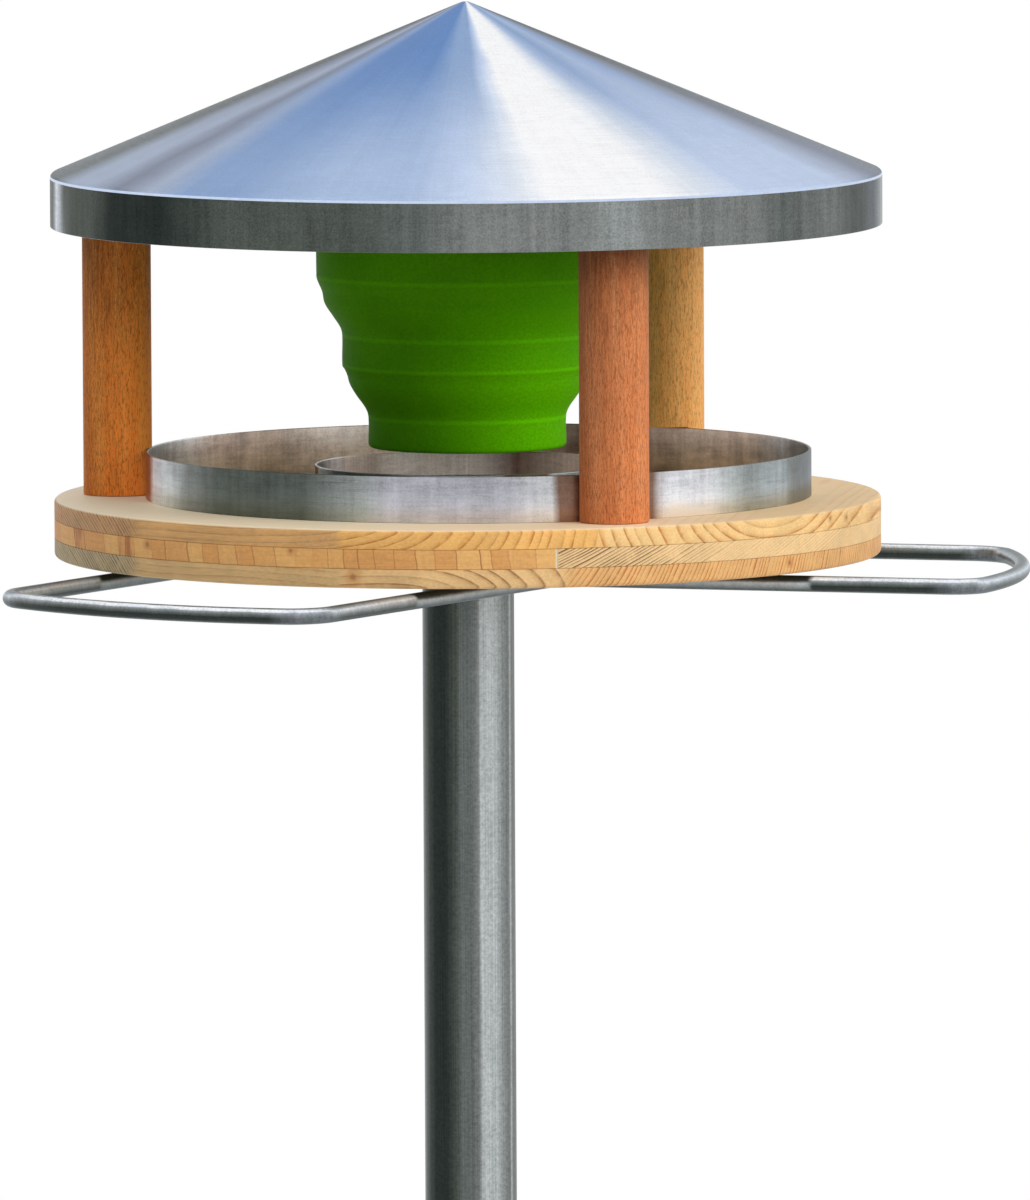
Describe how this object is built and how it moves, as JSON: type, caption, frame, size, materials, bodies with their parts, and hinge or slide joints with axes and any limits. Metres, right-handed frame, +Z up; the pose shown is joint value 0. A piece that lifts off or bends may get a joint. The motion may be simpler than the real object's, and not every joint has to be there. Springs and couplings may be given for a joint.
{
  "type": "bird table",
  "caption": "Free-standing round bird table: wooden board on a steel post, conical steel roof on wooden columns, hanging silicone seed silo over a dish, wire perch loops.",
  "frame": {"origin": "centre of the foot plate's underside, on the post's axis", "axes": "+Z up along the post; one column stands on -X, the other two at 60 degrees either side of +X; one perch loop points to +X"},
  "size_m": [0.435, 0.4784, 1.2519],
  "materials": {
    "roof_steel": "stainless, brushed round the cone",
    "tray_steel": "stainless, brushed along the strip",
    "post_steel": "stainless, brushed along the tube",
    "perch_steel": "stainless wire, satin",
    "foot_steel": "stainless, satin",
    "fasteners": "stainless, bright",
    "board_wood": "spruce three-ply, oiled",
    "column_wood": "steamed beech, oiled",
    "silo_silicone": "green silicone, matt"
  },
  "bodies": {
    "stand": {"foot_plate": "foot_steel", "post_lower": "post_steel", "post_upper": "post_steel", "foot_plug": "foot_steel", "post_joiner": "foot_steel", "head_plug": "foot_steel", "mounting_plate": "foot_steel", "board_bottom_ply": "board_wood", "board_core_ply": "board_wood", "board_top_ply": "board_wood", "tray_ring": "tray_steel", "silo_carrier": "foot_steel", "perch_1": "perch_steel", "perch_2": "perch_steel", "perch_3": "perch_steel", "column_front": "column_wood", "column_front_foot_screw": "fasteners", "column_front_top_screw": "fasteners", "column_back": "column_wood", "column_back_foot_screw": "fasteners", "column_back_top_screw": "fasteners", "column_left": "column_wood", "column_left_foot_screw": "fasteners", "column_left_top_screw": "fasteners", "plate_screw_1": "fasteners", "plate_screw_2": "fasteners", "plate_screw_3": "fasteners", "plate_screw_4": "fasteners", "plate_screw_5": "fasteners", "plate_screw_6": "fasteners", "post_screw_foot": "fasteners", "post_screw_joint_lower": "fasteners", "post_screw_joint_upper": "fasteners", "post_screw_head": "fasteners"},
    "silo": {"silo": "silo_silicone"},
    "roof": {"roof": "roof_steel"},
    "dish": {"seed_dish": "tray_steel"}
  },
  "joints": [
    {"name": "silo_lift", "type": "slide", "parent": "stand", "child": "silo", "axis": [0, 0, 1], "range_m": [0, 0.13]},
    {"name": "roof_lift", "type": "slide", "parent": "silo", "child": "roof", "axis": [0, 0, 1], "range_m": [0, 0.2]},
    {"name": "dish_slide", "type": "slide", "parent": "stand", "child": "dish", "axis": [-0.5, -0.866, 0], "range_m": [0, 0.07]}
  ]
}
